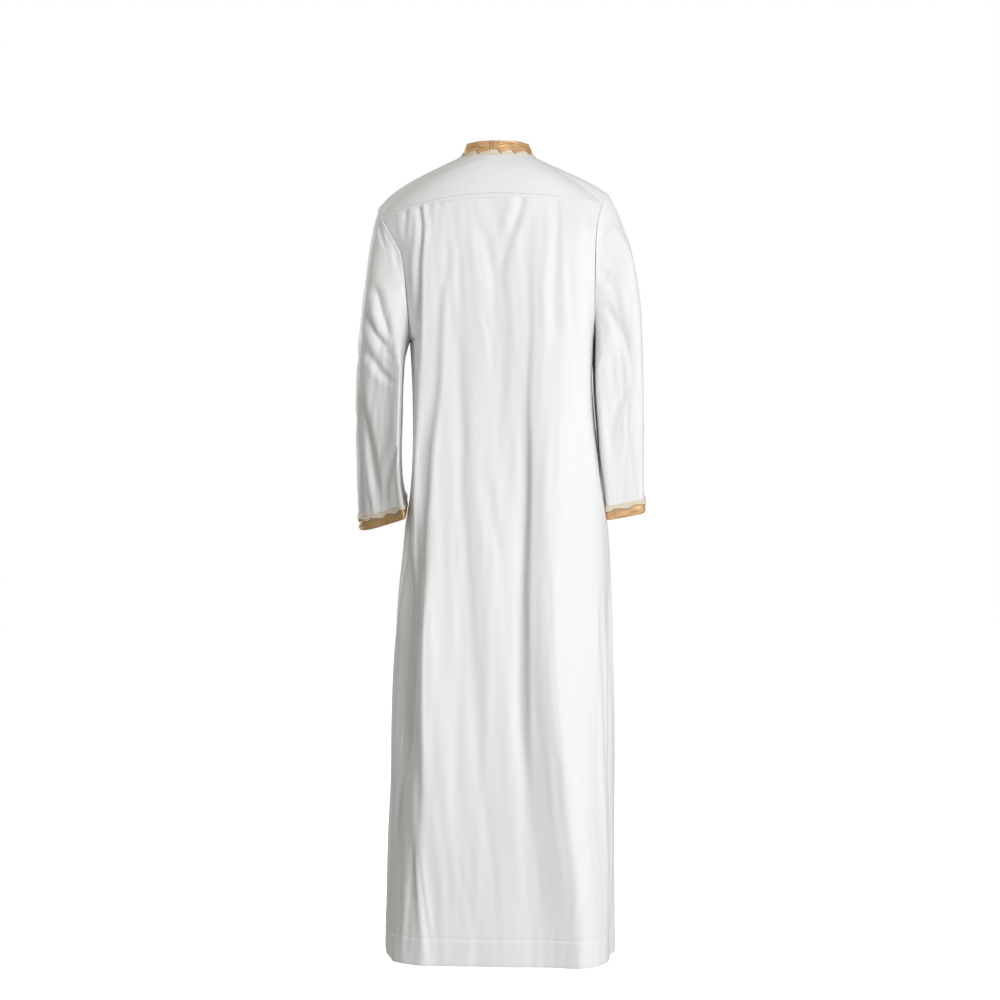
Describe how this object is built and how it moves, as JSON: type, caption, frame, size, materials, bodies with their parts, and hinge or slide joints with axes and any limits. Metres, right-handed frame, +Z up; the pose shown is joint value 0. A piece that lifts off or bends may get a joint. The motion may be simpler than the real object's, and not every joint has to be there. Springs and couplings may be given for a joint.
{
  "type": "thobe robe",
  "caption": "Ankle-length white satin robe in its worn, hollow form, with long sleeves, gold stand collar, gold cuffs and ivory scalloped braid.",
  "frame": {"origin": "middle of the neck opening, level with the back neck seam, where the robe hangs from the wearer's shoulders", "axes": "+Z up along the wearer, +Y behind the wearer, -Y the wearer's front, +X the wearer's left"},
  "size_m": [0.5529, 0.3767, 1.5283],
  "materials": {
    "white_satin": "soft satin sheen",
    "gold_cloth": "gold woven satin",
    "ivory_braid": "matt braided cord"
  },
  "bodies": {
    "root": {"back_panel": "white_satin", "front_panel": "white_satin", "back_yoke": "white_satin", "placket": "white_satin", "collar_left": "gold_cloth", "collar_right": "gold_cloth", "collar_braid": "ivory_braid", "sleeve_left": "white_satin", "cuff_band_left": "gold_cloth", "cuff_braid_left": "ivory_braid", "sleeve_right": "white_satin", "cuff_band_right": "gold_cloth", "cuff_braid_right": "ivory_braid"}
  },
  "joints": []
}
